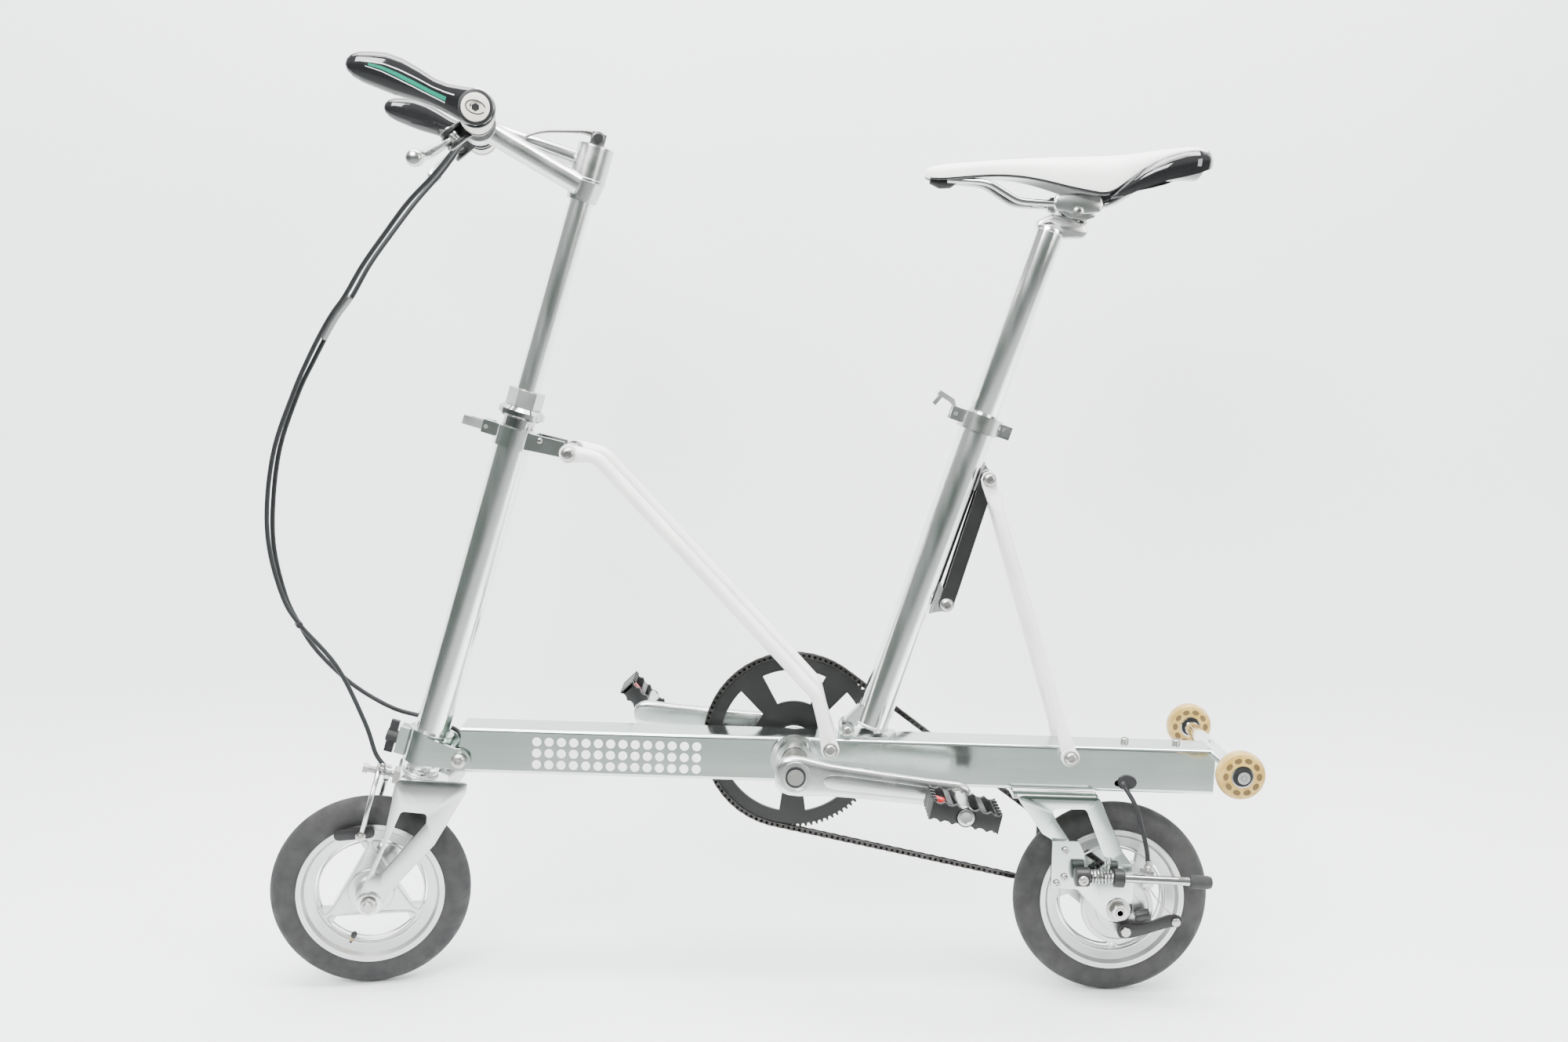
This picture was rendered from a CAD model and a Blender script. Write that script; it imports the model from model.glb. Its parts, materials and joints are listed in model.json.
import bpy
import bmesh
import json
import math
import random
from mathutils import Matrix, Vector


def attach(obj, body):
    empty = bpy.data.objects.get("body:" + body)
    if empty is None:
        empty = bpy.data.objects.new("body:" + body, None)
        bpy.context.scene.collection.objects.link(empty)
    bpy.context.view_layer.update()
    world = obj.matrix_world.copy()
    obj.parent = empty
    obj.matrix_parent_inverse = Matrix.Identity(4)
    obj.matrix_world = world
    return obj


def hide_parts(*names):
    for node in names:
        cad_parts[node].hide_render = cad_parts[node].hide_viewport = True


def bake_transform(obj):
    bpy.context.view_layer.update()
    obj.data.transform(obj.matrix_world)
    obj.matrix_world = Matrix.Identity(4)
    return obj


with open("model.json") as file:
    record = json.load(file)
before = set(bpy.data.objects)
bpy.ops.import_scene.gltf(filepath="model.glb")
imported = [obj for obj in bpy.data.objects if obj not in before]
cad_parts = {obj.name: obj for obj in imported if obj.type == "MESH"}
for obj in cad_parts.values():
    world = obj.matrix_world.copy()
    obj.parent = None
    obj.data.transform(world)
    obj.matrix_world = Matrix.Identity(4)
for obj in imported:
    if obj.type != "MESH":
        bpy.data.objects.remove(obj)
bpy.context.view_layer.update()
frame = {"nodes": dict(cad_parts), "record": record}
random.seed(4)

# ---- places, in mm as in the CAD ------------------------------------------

WHEEL_R, REAR_X = 108, 397
STEER_X, LEAN, STEER = -435.5, 16.0, 10.0
AXLE = (-16.8, 107.5)
SEAT_X, SEAT_LEAN = 27.2, 18.3
BEAM_Z, BEAM_TILT = 265.8, 1.13
BB = (43, 268)
P, D, E, A = (-319, 262), (81, 281), (-199, 596), (100, 297)
B, C, D2 = (205, 436), (246, 573), (341, 274)
RING_R, SPROCKET_R, CHAIN_Y, PITCH = 99.1, 16.3, 46, 6.35
CRANK_LEN, CRANK_ANGLE = 170, 6.4
BAR = (-120, 934.5)
STAND_Y = -60.5
ROLLER = (504.5, 277)
STEM_PIN = (-1, 959.5)
BRAKE_PIN = (-30, 106, 0)
STRUT_Y = 33.5
RING_TEETH, SPROCKET_TEETH = 98, 16
CABLE_R, CABLE_STEPS = 2.5, 6
WELD_STEP = 2.6
MM = 0.001
SIDES = ((-1, "left"), (1, "right"))


def turn(axis, degrees):
    return Matrix.Rotation(math.radians(degrees), 4, axis)


HERE = Matrix.Identity(4)
HEAD = Matrix.Translation((STEER_X, 0, 0)) @ turn("Y", LEAN)
STEERED = HEAD @ turn("Z", STEER)
SEAT = Matrix.Translation((SEAT_X, 0, 0)) @ turn("Y", SEAT_LEAN)
BEAM = Matrix.Translation((0, 0, BEAM_Z)) @ turn("Y", BEAM_TILT)
AT_BAR = STEERED @ Matrix.Translation((BAR[0], 0, BAR[1])) @ turn("Y", -54.5)
FRONT_HUB = STEERED @ Matrix.Translation((AXLE[0], 0, AXLE[1])) @ turn("Y", -LEAN)
REAR_HUB = Matrix.Translation((REAR_X, 0, WHEEL_R))
BB_AT = Matrix.Translation((BB[0], 0, BB[1]))

# ---- camera, light and floor ----------------------------------------------

scene = bpy.context.scene
camera = bpy.data.objects.new("camera", bpy.data.cameras.new("camera"))
scene.collection.objects.link(camera)
camera.data.sensor_width = 36
camera.data.lens = 35.57
camera.data.clip_start = 0.05
right, up = Vector((0.99983, -0.01088, 0.01480)), Vector((-0.01328, 0.12808, 0.99168))
back = right.cross(up).normalized()
camera.matrix_world = Matrix((
    (right.x, up.x, back.x, 0.00706), (right.y, up.y, back.y, -1.6554),
    (right.z, up.z, back.z, 0.7370), (0, 0, 0, 1),
))
scene.camera = camera


def area_light(name, at, aim, size, power, color=(1, 1, 1)):
    light = bpy.data.lights.new(name, "AREA")
    light.shape, light.size, light.size_y = "RECTANGLE", size[0], size[1]
    light.energy, light.color = power, color
    o = bpy.data.objects.new(name, light)
    o.location = at
    o.rotation_euler = (Vector(aim) - Vector(at)).to_track_quat("-Z", "Y").to_euler()
    scene.collection.objects.link(o)


area_light("key", (-0.9, -2.3, 2.3), (0, 0, 0.4), (1.6, 1.2), 170)
area_light("fill", (2.2, -1.8, 1.3), (0, 0, 0.4), (1.2, 1.6), 60, (1, 0.99, 0.97))
area_light("top", (0.1, -0.3, 2.7), (0, 0.05, 0), (2.6, 1.6), 150)
area_light("wall_wash", (0, -0.5, 2.9), (0, 0.45, 0.9), (3.4, 0.6), 120)


def set_world():
    world = bpy.data.worlds.new("studio")
    scene.world = world
    world.use_nodes = True
    nodes, links = world.node_tree.nodes, world.node_tree.links
    nodes.clear()
    out = nodes.new("ShaderNodeOutputWorld")
    bg = nodes.new("ShaderNodeBackground")
    coord = nodes.new("ShaderNodeTexCoord")
    split = nodes.new("ShaderNodeSeparateXYZ")
    ramp = nodes.new("ShaderNodeValToRGB")
    wave = nodes.new("ShaderNodeTexNoise")
    wave.inputs["Scale"].default_value = 1.6
    mix = nodes.new("ShaderNodeMix")
    mix.data_type = "RGBA"
    mix.blend_type = "MULTIPLY"
    mix.inputs["Factor"].default_value = 0.5
    add = nodes.new("ShaderNodeMath")
    add.operation = "MULTIPLY_ADD"
    add.inputs[1].default_value, add.inputs[2].default_value = 0.5, 0.5
    stops = ramp.color_ramp.elements
    stops[0].position, stops[0].color = 0.0, (0.42, 0.44, 0.43, 1)
    stops[1].position, stops[1].color = 1.0, (1.0, 1.0, 1.0, 1)
    for at, color in ((0.40, (0.50, 0.53, 0.51, 1)), (0.49, (0.20, 0.24, 0.22, 1)),
                      (0.56, (0.30, 0.36, 0.33, 1)), (0.64, (0.85, 0.88, 0.86, 1))):
        stop = stops.new(at)
        stop.color = color
    links.new(coord.outputs["Generated"], split.inputs[0])
    links.new(coord.outputs["Generated"], wave.inputs["Vector"])
    links.new(split.outputs["Z"], add.inputs[0])
    links.new(add.outputs[0], ramp.inputs[0])
    links.new(ramp.outputs[0], mix.inputs[6])
    links.new(wave.outputs["Fac"], mix.inputs[7])
    links.new(mix.outputs[2], bg.inputs[0])
    bg.inputs[1].default_value = 1.0
    links.new(bg.outputs[0], out.inputs[0])


set_world()

# ---- materials ------------------------------------------------------------


def material(name, color, rough, metal=0.0, **sockets):
    m = bpy.data.materials.new(name)
    m.use_nodes = True
    shader = m.node_tree.nodes["Principled BSDF"]
    shader.inputs["Base Color"].default_value = (*color, 1)
    shader.inputs["Roughness"].default_value = rough
    shader.inputs["Metallic"].default_value = metal
    for key, value in sockets.items():
        shader.inputs[key.replace("_", " ")].default_value = value
    return m


def noise(m, scale, detail=3, stretch=(1, 1, 1)):
    nodes, links = m.node_tree.nodes, m.node_tree.links
    where = nodes.new("ShaderNodeTexCoord")
    spread = nodes.new("ShaderNodeMapping")
    spread.inputs["Scale"].default_value = stretch
    tex = nodes.new("ShaderNodeTexNoise")
    tex.inputs["Scale"].default_value = scale
    tex.inputs["Detail"].default_value = detail
    links.new(where.outputs["Object"], spread.inputs[0])
    links.new(spread.outputs[0], tex.inputs["Vector"])
    return tex.outputs["Fac"]


def scaled(m, value, low, high, first=0.3, last=0.7):
    node = m.node_tree.nodes.new("ShaderNodeMapRange")
    node.inputs[1].default_value, node.inputs[2].default_value = first, last
    node.inputs[3].default_value, node.inputs[4].default_value = low, high
    m.node_tree.links.new(value, node.inputs[0])
    return node.outputs[0]


def tint(m, value, a, b, first=0.35, last=0.65):
    node = m.node_tree.nodes.new("ShaderNodeValToRGB")
    ends = node.color_ramp.elements
    ends[0].position, ends[0].color = first, (*a, 1)
    ends[1].position, ends[1].color = last, (*b, 1)
    m.node_tree.links.new(value, node.inputs[0])
    return node.outputs[0]


def set_input(m, name, value):
    m.node_tree.links.new(value, m.node_tree.nodes["Principled BSDF"].inputs[name])


def bump(m, value, distance, strength=1.0):
    shader = m.node_tree.nodes["Principled BSDF"]
    old = shader.inputs["Normal"].links
    node = m.node_tree.nodes.new("ShaderNodeBump")
    node.inputs["Strength"].default_value = strength
    node.inputs["Distance"].default_value = distance
    if old:
        m.node_tree.links.new(old[0].from_socket, node.inputs["Normal"])
    m.node_tree.links.new(value, node.inputs["Height"])
    m.node_tree.links.new(node.outputs[0], shader.inputs["Normal"])


def polished(name="polished", rough=(0.05, 0.16), stretch=(1, 1, 1),
             shades=((0.80, 0.825, 0.81), (0.90, 0.91, 0.90))):
    m = material(name, (0.86, 0.875, 0.865), 0.1, 1.0)
    set_input(m, "Roughness", scaled(m, noise(m, 60, 6, stretch), *rough))
    set_input(m, "Base Color", tint(m, noise(m, 9, 4), *shades))
    bump(m, noise(m, 900, 2, stretch), 0.00001, 0.5)
    bump(m, noise(m, 18, 2), 0.0004, 0.12)
    return m


def satin(name, color=(0.72, 0.725, 0.72), rough=(0.28, 0.42), grain=2200):
    m = material(name, color, 0.35, 1.0)
    set_input(m, "Roughness", scaled(m, noise(m, 40, 5), *rough))
    darker = tuple(c * 0.90 for c in color)
    set_input(m, "Base Color", tint(m, noise(m, 14, 5), darker, color))
    bump(m, noise(m, grain, 3), 0.00003, 0.45)
    return m


def coated(name, color, rough, grain=1500, depth=0.00002, worn=None, **sockets):
    m = material(name, color, rough, 0.0, **sockets)
    low = tuple(c * 0.86 for c in color)
    set_input(m, "Base Color", tint(m, noise(m, 22, 6), worn or low, color))
    set_input(m, "Roughness", scaled(m, noise(m, 55, 4), rough * 0.85, min(1, rough * 1.25)))
    bump(m, noise(m, grain, 3), depth, 0.6)
    return m


POLISHED = polished()
BRUSHED = polished("brushed_tube", (0.10, 0.24), (1, 1, 0.05))
FRAME = polished("frame_alloy", (0.09, 0.2), (0.05, 1, 1),
                 ((0.50, 0.565, 0.53), (0.58, 0.64, 0.61)))
PLATE = polished("plate_alloy", (0.12, 0.24), (1, 1, 1),
                 ((0.44, 0.445, 0.44), (0.52, 0.525, 0.52)))
SATIN = satin("satin_cast", (0.56, 0.565, 0.56))
ALLOY = satin("alloy_forged", (0.58, 0.59, 0.58), (0.18, 0.30), 900)
LEVER = satin("lever_steel", (0.27, 0.265, 0.255), (0.25, 0.35), 900)
SLEEVE = satin("sleeve_steel", (0.20, 0.20, 0.20), (0.3, 0.4), 1200)
ZINC = satin("zinc_plate", (0.42, 0.415, 0.40), (0.22, 0.36), 1400)
CHROME = polished("chrome", (0.02, 0.07), (1, 1, 1), ((0.40, 0.40, 0.40), (0.55, 0.55, 0.55)))
CHAIN = satin("chain_steel", (0.075, 0.072, 0.07), (0.3, 0.5), 3000)
BLACK_METAL = coated("black_anodised", (0.012, 0.012, 0.0125), 0.38, 2600, Specular_IOR_Level=0.35)
BLACK_PLASTIC = coated("black_plastic", (0.012, 0.012, 0.013), 0.5, 900, 0.00005, Specular_IOR_Level=0.35)
BLACK_GLOSS = coated("black_gloss", (0.010, 0.010, 0.011), 0.08, 300, 0.00001, Coat_Weight=0.6)
RUBBER = coated("rubber", (0.015, 0.015, 0.0155), 0.62, 1800, 0.00006)
CABLE = coated("cable_jacket", (0.010, 0.011, 0.012), 0.45, 1200, Specular_IOR_Level=0.3)
WHITE_PAINT = coated("white_paint", (0.87, 0.87, 0.855), 0.22, 500, 0.00002, Coat_Weight=0.4)
GRIP = coated("grip_pale", (0.82, 0.79, 0.71), 0.55, 1300, 0.00008)
DOT_PAINT = coated("dot_paint", (0.90, 0.91, 0.90), 0.35, 1500)
RED = coated("red_plastic", (0.45, 0.02, 0.02), 0.35, 900)
GREEN = coated("green_stripe", (0.01, 0.20, 0.13), 0.15, 500)
WHITE_LINE = coated("white_line", (0.85, 0.86, 0.86), 0.2, 500)
BRASS = satin("brass", (0.55, 0.43, 0.24), (0.25, 0.4), 1500)

OWN = {
    "polished": POLISHED, "satin": SATIN, "zinc": ZINC, "chrome": CHROME, "chain": CHAIN,
    "tyre": RUBBER, "pale_rubber": GRIP, "black_gloss": BLACK_GLOSS,
    "black_plastic": BLACK_PLASTIC, "black_metal": BLACK_METAL, "white_paint": WHITE_PAINT,
    "saddle_cover": GRIP, "roller": GRIP, "cable": CABLE,
}
for part in frame["record"]["subparts"]:
    node = frame["nodes"][part["node"]]
    node.data.materials.clear()
    node.data.materials.append(OWN[part["material_slot"]])
for name in ("stem_post", "seat_post", "head_tube", "seat_tube"):
    frame["nodes"][name].data.materials[0] = BRUSHED
for name in ("main_beam", "dropout_bridge", "bracket_clamp", "kickstand_bracket"):
    frame["nodes"][name].data.materials[0] = FRAME
for name in ("left_crank", "right_crank", "stem_head", "saddle_clamp", "seat_collar"):
    frame["nodes"][name].data.materials[0] = ALLOY

# ---- helpers --------------------------------------------------------------


def mesh_object(name, bm, mats, size=MM):
    """Makes an object from bm, scaled to metres by size."""
    mesh = bpy.data.meshes.new(name)
    bm.to_mesh(mesh)
    bm.free()
    mesh.transform(Matrix.Scale(size, 4))
    for mat in mats:
        mesh.materials.append(mat)
    o = bpy.data.objects.new(name, mesh)
    scene.collection.objects.link(o)
    return o


def skin_faces(rows, n, wrap=False, caps=True):
    """Faces that join rows of n points into a tube; wrap joins the last row to the first."""
    faces = []
    for i in range(rows if wrap else rows - 1):
        m = (i + 1) % rows
        for k in range(n):
            j = (k + 1) % n
            faces.append((i * n + k, i * n + j, m * n + j, m * n + k))
    if caps:
        faces += [tuple(range(n))[::-1], tuple((rows - 1) * n + k for k in range(n))]
    return faces


def heading(path, i):
    """Direction of a path at its point i."""
    return (path[min(i + 1, len(path) - 1)] - path[max(i - 1, 0)]).normalized()


def angles(n):
    return [2 * math.pi * k / n for k in range(n)]


def rounder(value, power):
    """Power of a sine or cosine that keeps its sign."""
    return math.copysign(abs(value) ** power, value)


def refined(rows, steps=3):
    """Rows of numbers with evenly spaced rows put in between."""
    out = []
    for a, b in zip(rows, rows[1:]):
        out += [tuple(p + (q - p) * k / steps for p, q in zip(a, b)) for k in range(steps)]
    return out + [rows[-1]]


# ---- floor ----------------------------------------------------------------


def studio_floor():
    # floor that curves up into a wall behind the bicycle
    profile = [(-4.0, 0.0), (-1.0, 0.0), (0.2, 0.0)]
    profile += [(0.2 + 0.25 * math.sin(t), 0.25 - 0.25 * math.cos(t))
                for t in [math.radians(7.5 * k) for k in range(1, 13)]]
    profile += [(0.45, 1.0), (0.45, 3.2)]
    bm = bmesh.new()
    rows = [[bm.verts.new((x, y, z)) for x in (-4, 0, 4)] for y, z in profile]
    for a, b in zip(rows, rows[1:]):
        for k in range(2):
            bm.faces.new((a[k], a[k + 1], b[k + 1], b[k]))
    m = material("floor_cloth", (0.83, 0.845, 0.85), 0.85)
    o = mesh_object("floor", bm, (m,), 1)
    for face in o.data.polygons:
        face.use_smooth = True
    bump(m, noise(m, 2.2, 3), 0.02, 0.10)
    bump(m, noise(m, 700, 2), 0.0002, 0.2)
    # grey towards the front, out of the picture: something dark for the bright metal to mirror
    nodes, links = m.node_tree.nodes, m.node_tree.links
    where, split = nodes.new("ShaderNodeTexCoord"), nodes.new("ShaderNodeSeparateXYZ")
    links.new(where.outputs["Object"], split.inputs[0])
    mix = nodes.new("ShaderNodeMix")
    mix.data_type = "RGBA"
    mix.inputs[6].default_value = (0.15, 0.16, 0.155, 1)
    links.new(scaled(m, split.outputs["Y"], 0, 1, -0.85, -0.3), mix.inputs["Factor"])
    links.new(tint(m, noise(m, 1.3, 3), (0.80, 0.82, 0.825), (0.85, 0.86, 0.865)), mix.inputs[7])
    set_input(m, "Base Color", mix.outputs[2])


studio_floor()

# ---- piece builder --------------------------------------------------------


class Piece:
    """Collects surfaces in mm, then makes one object that rides on a body."""

    def __init__(self, name, place=HERE):
        self.name, self.place = name, place
        self.bm = bmesh.new()
        self.mats = []

    def slot(self, mat):
        if mat not in self.mats:
            self.mats.append(mat)
        return self.mats.index(mat)

    def add(self, verts, faces, mat, flat=False):
        own = [self.bm.verts.new(self.place @ Vector(v)) for v in verts]
        index = self.slot(mat)
        for face in faces:
            try:
                f = self.bm.faces.new([own[k] for k in face])
            except ValueError:
                continue
            f.material_index = index
            f.smooth = not flat
        return own

    def lathe(self, profile, at, axis, mat, n=40, hexes=(), close=True):
        """profile is [(radius, height)] about axis from at; hexes lists the rings that are six-sided."""
        z = Vector(axis).normalized()
        x = z.orthogonal().normalized()
        y = z.cross(x)
        verts = []
        for i, (r, h) in enumerate(profile):
            for a in angles(n):
                q = r
                if i in hexes:
                    q = r * math.cos(math.pi / 6) / math.cos(a % (math.pi / 3) - math.pi / 6)
                verts.append(Vector(at) + z * h + (x * math.cos(a) + y * math.sin(a)) * q)
        self.add(verts, skin_faces(len(profile), n, caps=close), mat)

    def tube(self, points, r, mat, n=12, closed=False):
        """r is one radius, or one for each point."""
        pts = [Vector(p) for p in points]
        radii = r if isinstance(r, (list, tuple)) else [r] * len(pts)
        verts, side, count = [], None, len(pts)
        for i, p in enumerate(pts):
            t = (pts[(i + 1) % count] - pts[i - 1]).normalized() if closed else heading(pts, i)
            side = t.orthogonal() if side is None else side - t * side.dot(t)
            side.normalize()
            up_ = t.cross(side)
            verts += [p + (side * math.cos(a) + up_ * math.sin(a)) * radii[i] for a in angles(n)]
        self.add(verts, skin_faces(count, n, closed, not closed), mat)

    def plate(self, outline, y0, y1, mat, bevel=0.0, holes=()):
        """Extrudes an (x, z) outline along Y, its edges rounded by bevel in two steps."""
        steps = [(y0, bevel), (y0 + 0.3 * bevel, 0.3 * bevel), (y0 + bevel, 0),
                 (y1 - bevel, 0), (y1 - 0.3 * bevel, 0.3 * bevel), (y1, bevel)]
        if bevel == 0:
            steps = [(y0, 0), (y1, 0)]
        caps = []
        for k, loop in enumerate([outline, *holes]):
            n = len(loop)
            verts = []
            for y, inset in steps:
                verts += [Vector((x, y, z)) for x, z in shrink(loop, -inset if k else inset)]
            own = self.add(verts, skin_faces(len(steps), n, caps=not holes), mat)
            caps.append((own[:n], own[-n:]))
        if holes:
            for side in (0, 1):
                edges = [self.bm.edges.get((loop[side][j - 1], loop[side][j]))
                         for loop in caps for j in range(len(loop[side]))]
                filled = bmesh.ops.triangle_fill(self.bm, edges=edges, use_beauty=True)
                for f in filled["geom"]:
                    if isinstance(f, bmesh.types.BMFace):
                        f.material_index = self.slot(mat)
                        f.smooth = True

    def loft(self, sections, mat, n=20, power=1.0):
        """Joins sections (centre, side, up, half along side, half along up) into one closed skin."""
        verts = []
        for centre, side, up_, a_, b_ in sections:
            for t in angles(n):
                c, s_ = rounder(math.cos(t), power), rounder(math.sin(t), power)
                verts.append(Vector(centre) + Vector(side) * (c * a_) + Vector(up_) * (s_ * b_))
        self.add(verts, skin_faces(len(sections), n), mat)

    def done(self, body, cad=(), sharp=38):
        bmesh.ops.recalc_face_normals(self.bm, faces=self.bm.faces)
        for edge in self.bm.edges:
            if len(edge.link_faces) == 2 and edge.calc_face_angle(0) > math.radians(sharp):
                edge.smooth = False
        o = mesh_object(self.name, self.bm, self.mats)
        if body:
            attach(o, body)
        if cad:
            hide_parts(*cad)
        return o


def shrink(outline, d):
    """Moves every corner of an outline inwards by d."""
    if d == 0:
        return list(outline)
    n = len(outline)
    area = sum(outline[i - 1][0] * outline[i][1] - outline[i][0] * outline[i - 1][1] for i in range(n))
    sign = 1 if area > 0 else -1
    out = []
    for i in range(n):
        a, b, c = (Vector(outline[k % n]) for k in (i - 1, i, i + 1))
        e, f = (b - a), (c - b)
        if e.length < 1e-6 or f.length < 1e-6:
            out.append(tuple(b))
            continue
        e.normalize()
        f.normalize()
        n1, n2 = Vector((-e.y, e.x)) * sign, Vector((-f.y, f.x)) * sign
        m = n1 + n2
        if m.length < 1e-6:
            m = n1
        m.normalize()
        out.append(tuple(b + m * d / max(0.5, m.dot(n1))))
    return out


def smooth_path(points, steps, closed=False):
    """Catmull-Rom curve through points."""
    pts = [Vector(p) for p in points]
    n = len(pts)
    out = []
    for i in range(n if closed else n - 1):
        a, b, c, d = ((pts[(i + k) % n] if closed else pts[min(max(i + k, 0), n - 1)])
                      for k in (-1, 0, 1, 2))
        for k in range(steps):
            t = k / steps
            out.append(0.5 * (2 * b + (c - a) * t + (2 * a - 5 * b + 4 * c - d) * t * t
                              + (3 * b - a - 3 * c + d) * t ** 3))
    if not closed:
        out.append(pts[-1])
    return out


def round_outline(points, steps=5):
    return [tuple(p) for p in smooth_path(points, steps, closed=True)]


def filleted(points, r, steps=5, closed=True):
    """Corners of an outline or a path, each rounded by an arc of radius r or less."""
    pts = [Vector(p) for p in points]
    n = len(pts)
    out = []
    for i in range(n):
        if not closed and i in (0, n - 1):
            out.append(pts[i])
            continue
        a, b, c = pts[i - 1], pts[i], pts[(i + 1) % n]
        e, f = (a - b), (c - b)
        half = e.angle(f) / 2
        cut = min(r / math.tan(half), 0.45 * e.length, 0.45 * f.length)
        p0, p1 = b + e.normalized() * cut, b + f.normalized() * cut
        for k in range(steps + 1):
            t = k / steps
            out.append(p0 * (1 - t) ** 2 + b * (2 * t * (1 - t)) + p1 * t ** 2)
    return out


def arm_outline(a, ra, b, rb, n=14):
    """Outline round two circles."""
    a, b = Vector(a), Vector(b)
    base = math.atan2(b.y - a.y, b.x - a.x)
    open_ = math.acos((ra - rb) / (b - a).length)
    out = []
    for k in range(n + 1):
        t = base + open_ + (2 * math.pi - 2 * open_) * k / n
        out.append((a.x + ra * math.cos(t), a.y + ra * math.sin(t)))
    for k in range(n + 1):
        t = base - open_ + 2 * open_ * k / n
        out.append((b.x + rb * math.cos(t), b.y + rb * math.sin(t)))
    return out


def bolt(name, at, axis, r, body, h=4.0, place=HERE):
    """Button head of radius r and height h with a hexagon socket."""
    p = Piece(name, place)
    p.lathe([(r * 0.97, 0), (r, 0.2 * h), (r * 0.93, 0.55 * h), (r * 0.74, 0.86 * h),
             (r * 0.52, h), (r * 0.46, h), (r * 0.45, 0.35 * h), (0.02, 0.3 * h)],
            at, axis, ZINC, 36, hexes=(5, 6))
    p.done(body)


def bead(name, points, r, body, place=HERE, closed=False):
    """Weld bead: a tube whose radius ripples."""
    path = smooth_path(points, 1, closed) if len(points) > 2 else [Vector(q) for q in points]
    fine = []
    for a, b in zip(path, path[1:] + ([path[0]] if closed else [])):
        k = max(1, int((b - a).length / (WELD_STEP / 3)))
        fine += [a.lerp(b, j / k) for j in range(k)]
    if not closed:
        fine.append(path[-1])
    radii = [r * (0.88 + 0.16 * math.sin(2 * math.pi * i / 3) + 0.05 * random.random())
             for i in range(len(fine))]
    p = Piece(name, place)
    p.tube(fine, radii, SATIN, 8, closed)
    p.done(body, sharp=80)

# ---- wheels ---------------------------------------------------------------


def tyre_material():
    m = coated("tyre_tread", (0.014, 0.014, 0.0145), 0.7, 1600, 0.00008, (0.021, 0.0205, 0.020))
    nodes, links = m.node_tree.nodes, m.node_tree.links
    uv = nodes.new("ShaderNodeUVMap")
    split = nodes.new("ShaderNodeSeparateXYZ")
    links.new(uv.outputs[0], split.inputs[0])

    def math_node(op, a, b=None):
        node = nodes.new("ShaderNodeMath")
        node.operation = op
        for k, v in enumerate((a, b)):
            if v is None:
                continue
            if isinstance(v, (int, float)):
                node.inputs[k].default_value = v
            else:
                links.new(v, node.inputs[k])
        return node.outputs[0]

    # u runs round the tyre in teeth, v across it from -1 to 1
    u, v = split.outputs[0], split.outputs[1]
    across = math_node("ABSOLUTE", v)
    slant = math_node("ADD", u, math_node("MULTIPLY", across, 1.4))
    saw = math_node("FRACT", slant)
    sipe = math_node("LESS_THAN", math_node("ABSOLUTE", math_node("SUBTRACT", saw, 0.5)), 0.11)
    zone = math_node("MULTIPLY", math_node("GREATER_THAN", across, 0.16),
                     math_node("LESS_THAN", across, 0.62))
    groove = math_node("MULTIPLY", sipe, zone)
    ring = math_node("LESS_THAN", math_node("ABSOLUTE", math_node("SUBTRACT", across, 0.70)), 0.012)
    bead_ = math_node("LESS_THAN", math_node("ABSOLUTE", math_node("SUBTRACT", across, 0.92)), 0.012)
    cuts = math_node("MAXIMUM", groove, math_node("MAXIMUM", ring, bead_))
    height = math_node("SUBTRACT", 1.0, cuts)
    bump(m, height, 0.0012, 0.9)
    return m


TREAD = tyre_material()


def tyre(name, hub, body, cad):
    profile = [(79.5, -13.6), (81.5, -14.2), (85, -15.0), (89, -15.45), (93, -15.5), (96.5, -14.9),
               (99.8, -13.4), (102.8, -11.0), (105.2, -7.9), (106.9, -4.2), (107.8, -1.4)]
    profile += [(r, -y) for r, y in reversed(profile)]
    n, teeth = 144, 72
    bm = bmesh.new()
    layer = bm.loops.layers.uv.new("UVMap")
    rows = []
    for a in angles(n):
        rows.append([bm.verts.new(hub @ Vector((r * math.cos(a), y, r * math.sin(a))))
                     for r, y in profile])
    last = len(profile) - 1
    for k in range(n):
        for i in range(last):
            f = bm.faces.new((rows[k][i], rows[k][i + 1], rows[(k + 1) % n][i + 1], rows[(k + 1) % n][i]))
            f.smooth = True
            for loop, (du, dv) in zip(f.loops, ((0, 0), (0, 1), (1, 1), (1, 0))):
                loop[layer].uv = ((k + du) * teeth / n, 2 * (i + dv) / last - 1)
    bmesh.ops.recalc_face_normals(bm, faces=bm.faces)
    o = mesh_object(name, bm, (TREAD,))
    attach(o, body)
    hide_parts(cad)


tyre("front_tyre_tread", FRONT_HUB, "front_wheel", "front_tyre")
tyre("rear_tyre_tread", REAR_HUB, "rear_wheel", "rear_tyre")


def rim_window(turn_deg):
    """Outline of one window: a chord near the hub and the rim's arc, corners rounded."""
    pts = []
    for a in (-52, -40, -25, -8, 8, 25, 40, 52):
        pts.append((57.5 * math.sin(math.radians(a)), -57.5 * math.cos(math.radians(a))))
    pts += [(47, -30.5), (38, -26.5), (14, -25.5), (-14, -25.5), (-38, -26.5), (-47, -30.5)]
    m = Matrix.Rotation(math.radians(turn_deg), 2)
    return [tuple(m @ Vector(p)) for p in round_outline(pts, 4)]


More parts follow.
